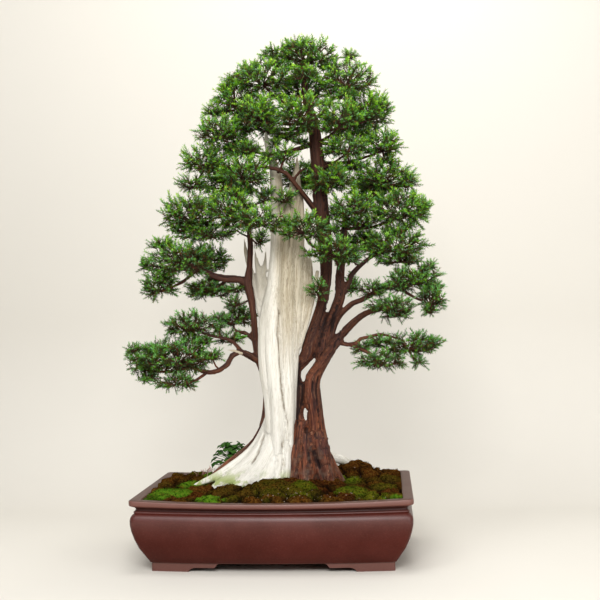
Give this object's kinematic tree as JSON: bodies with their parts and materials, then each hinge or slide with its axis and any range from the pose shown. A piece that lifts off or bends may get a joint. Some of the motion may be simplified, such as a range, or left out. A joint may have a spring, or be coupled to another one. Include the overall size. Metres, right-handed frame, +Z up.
{
  "type": "juniper bonsai tree in a pot",
  "caption": "Common juniper bonsai with bleached deadwood, live bark-covered stems and layered pads of needles, growing from moss in an oblong unglazed stoneware pot with cloud feet.",
  "frame": {"origin": "middle of the bounding box's base, on the plane that the pot's feet stand on", "axes": "+Z up along the trunk, +X to the right of someone who faces the tree's front, -Y out of the tree's front"},
  "size_m": [0.56, 0.356, 0.8866],
  "materials": {
    "pot": "unglazed, satin",
    "screen": "matte",
    "soil": "rough grit",
    "moss": "soft and matte",
    "moss_green": "soft and matte",
    "accent": "leafy, slightly glossy",
    "deadwood": "bleached, weathered",
    "bark": "brushed bark, satin",
    "foliage": "fine needles, satin"
  },
  "bodies": {
    "root": {"accent_plant": "accent", "deadwood": "deadwood", "drain_screen_left": "screen", "drain_screen_right": "screen", "foliage_apex_left": "foliage", "foliage_apex_rear": "foliage", "foliage_apex_right": "foliage", "foliage_apex_top": "foliage", "foliage_crown_front": "foliage", "foliage_crown_left": "foliage", "foliage_crown_left_front": "foliage", "foliage_crown_left_low": "foliage", "foliage_crown_mid_right": "foliage", "foliage_crown_rear_left": "foliage", "foliage_crown_rear_right": "foliage", "foliage_crown_right": "foliage", "foliage_crown_right_front": "foliage", "foliage_crown_right_low": "foliage", "foliage_front_of_trunk": "foliage", "foliage_front_tuft": "foliage", "foliage_left_1": "foliage", "foliage_left_1_low": "foliage", "foliage_left_1_tip": "foliage", "foliage_left_2": "foliage", "foliage_left_2_inner": "foliage", "foliage_left_3": "foliage", "foliage_left_3_low": "foliage", "foliage_left_3_rear": "foliage", "foliage_left_3_tip": "foliage", "foliage_left_4": "foliage", "foliage_left_4_front": "foliage", "foliage_left_4_low": "foliage", "foliage_left_5": "foliage", "foliage_left_5_front": "foliage", "foliage_middle_tuft": "foliage", "foliage_rear_left": "foliage", "foliage_rear_middle": "foliage", "foliage_rear_right": "foliage", "foliage_right_1": "foliage", "foliage_right_1_low": "foliage", "foliage_right_2": "foliage", "foliage_right_2_inner": "foliage", "foliage_right_2_low": "foliage", "foliage_right_2_tip": "foliage", "foliage_right_3": "foliage", "foliage_right_3_front": "foliage", "foliage_right_3_rear": "foliage", "foliage_right_4": "foliage", "foliage_right_4_inner": "foliage", "foliage_right_5": "foliage", "foliage_right_5_front": "foliage", "live_trunk": "bark", "live_vein": "bark", "moss_carpet": "moss", "moss_cushion_left": "moss_green", "moss_cushion_olive": "moss_green", "moss_cushion_right": "moss_green", "moss_cushion_round": "moss_green", "pot": "pot", "soil": "soil"}
  },
  "joints": []
}
